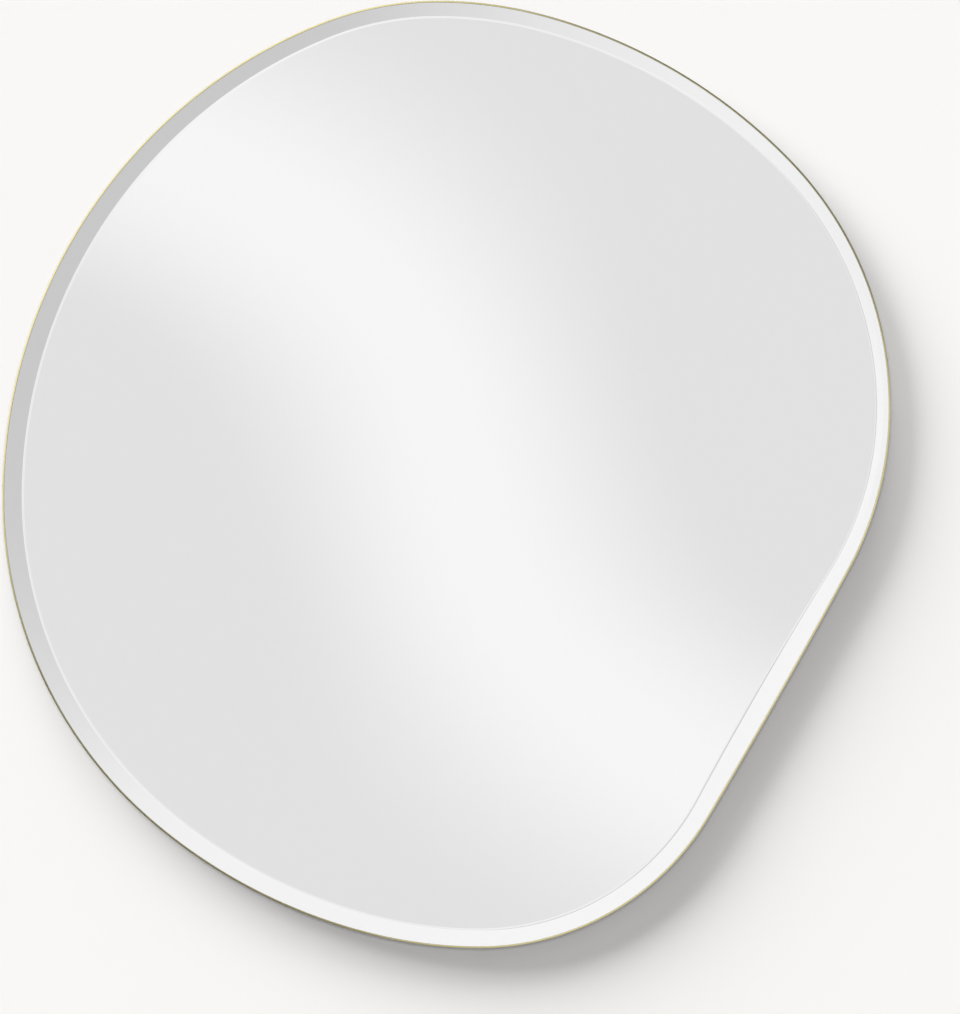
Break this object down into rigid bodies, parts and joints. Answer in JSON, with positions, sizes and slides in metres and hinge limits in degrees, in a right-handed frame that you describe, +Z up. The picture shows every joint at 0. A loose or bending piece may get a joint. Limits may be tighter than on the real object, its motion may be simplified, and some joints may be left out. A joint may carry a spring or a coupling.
{
  "type": "wall mirror",
  "caption": "Wall mirror with a free-form pebble outline, bevelled glass and a thin metal rim, hung from D-rings on a backing board.",
  "frame": {"origin": "on the wall plane that the bumpers rest against, behind the middle of the outline's box", "axes": "X to the right as seen from the front, +Y into the wall so the mirror faces -Y, +Z up"},
  "size_m": [0.75, 0.0244, 0.8],
  "materials": {
    "glass": "clear polished float glass with a ground and polished bevel",
    "silver": "silvering, seen through the glass",
    "film": "translucent safety film",
    "brass": "fine brushed, lacquered",
    "board": "raw medium-density fibreboard, smooth faces",
    "adhesive": "cured mirror adhesive",
    "tape": "white acrylic foam",
    "steel": "zinc-plated sheet steel",
    "wire": "nickel-plated wire",
    "screw": "zinc-plated",
    "rubber": "matt black rubber"
  },
  "bodies": {
    "mirror": {"mirror_glass": "glass", "silver_coat": "silver", "safety_film": "film", "rim_band": "brass", "backing_board": "board", "adhesive_beads": "adhesive", "tape_strip_1": "tape", "tape_strip_2": "tape", "tape_strip_3": "tape", "tape_strip_4": "tape", "rim_tab_1": "steel", "rim_tab_2": "steel", "rim_tab_3": "steel", "rim_tab_4": "steel", "tab_screws": "screw", "hanger_strap_left": "steel", "hanger_strap_right": "steel", "hanger_screws": "screw", "wall_bumper_1": "rubber", "wall_bumper_2": "rubber", "wall_bumper_3": "rubber", "wall_bumper_4": "rubber"},
    "ring_left": {"hanger_ring_left": "wire"},
    "ring_right": {"hanger_ring_right": "wire"}
  },
  "joints": [
    {"name": "ring_left_swing", "type": "hinge", "parent": "mirror", "child": "ring_left", "pos_m": [-0.16, -0.0059, 0.19], "axis": [-1, 0, 0], "range_deg": [0, 183]},
    {"name": "ring_right_swing", "type": "hinge", "parent": "mirror", "child": "ring_right", "pos_m": [0.16, -0.0059, 0.19], "axis": [-1, 0, 0], "range_deg": [0, 183]}
  ]
}
